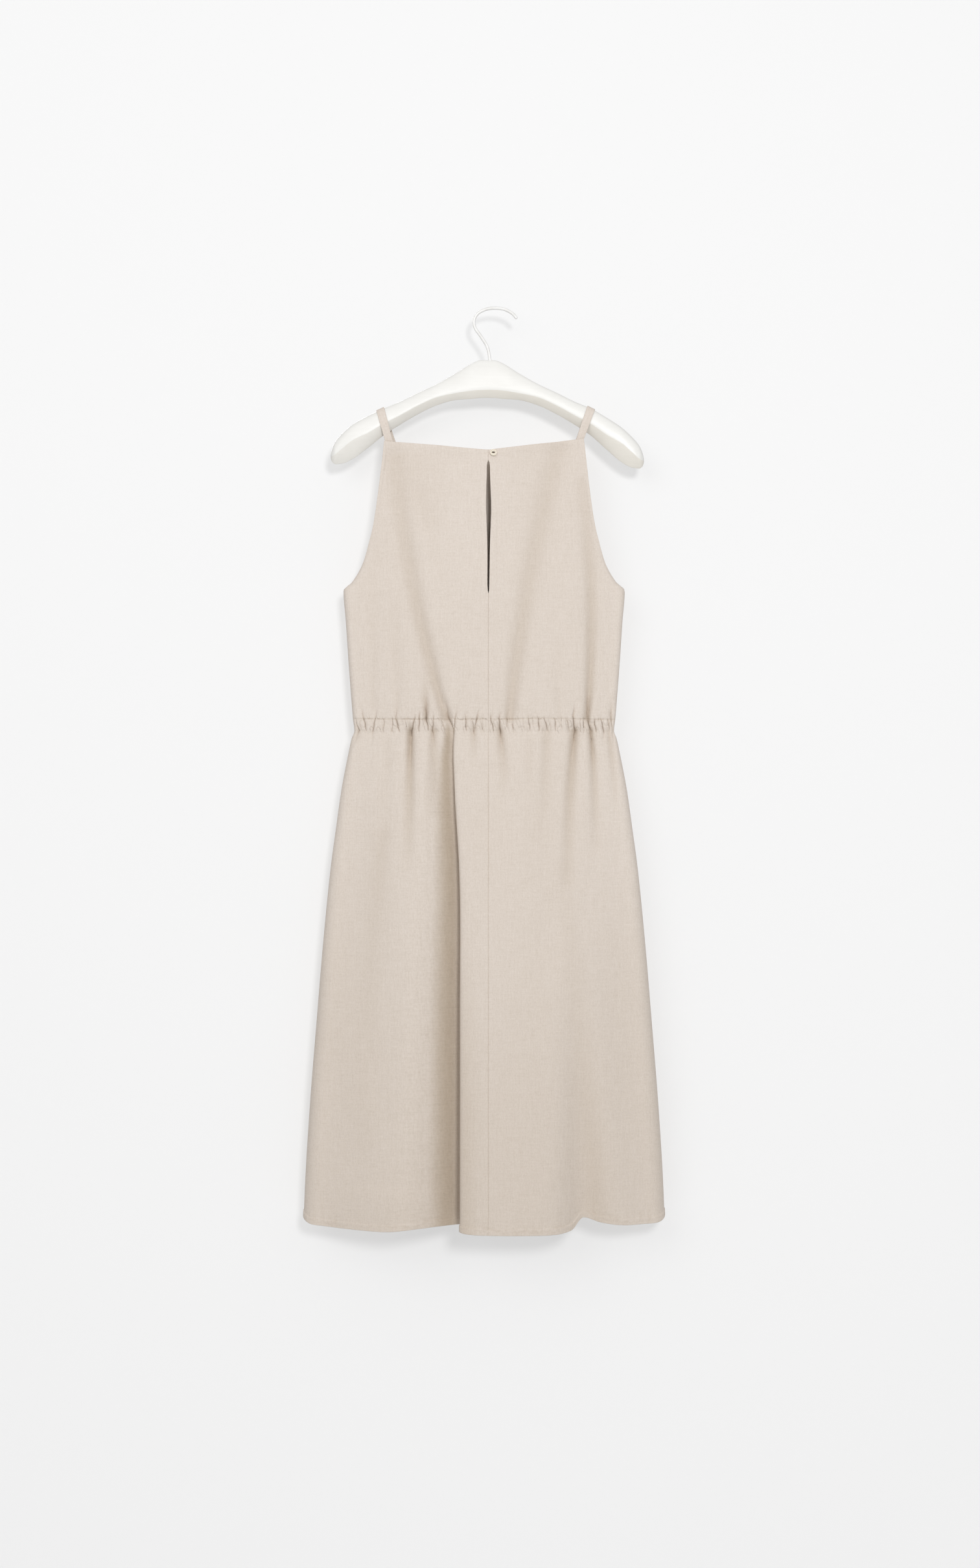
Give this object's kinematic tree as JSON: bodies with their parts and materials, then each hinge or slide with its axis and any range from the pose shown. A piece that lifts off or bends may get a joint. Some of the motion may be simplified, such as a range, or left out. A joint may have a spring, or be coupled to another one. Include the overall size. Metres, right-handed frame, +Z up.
{
  "type": "linen dress on a hanger",
  "caption": "Sleeveless midi dress with thin straps, a buttoned back slit and an elasticated waist, hung from a white contoured wooden hanger with a wire hook.",
  "frame": {"origin": "top of the inside of the hanger's hook, where a rail or a knob carries it", "axes": "+Z up, +X to the wearer's right across the dress, +Y towards the front of the dress, so its back faces -Y"},
  "size_m": [0.5157, 0.1065, 1.32],
  "materials": {
    "linen": "plain woven beige linen, matt, with a slight slub",
    "button_shell": "cream shell-like button, softly polished",
    "hanger_paint": "wood with off-white satin paint",
    "hook_coat": "steel wire with a white coating"
  },
  "bodies": {
    "root": {"back_bodice_left": "linen", "back_bodice_right": "linen", "front_bodice": "linen", "back_skirt_left": "linen", "back_skirt_right": "linen", "front_skirt": "linen", "strap_left": "linen", "strap_right": "linen", "button_loop": "linen", "button": "button_shell", "hanger_arms": "hanger_paint", "hanger_hook": "hook_coat"}
  },
  "joints": []
}
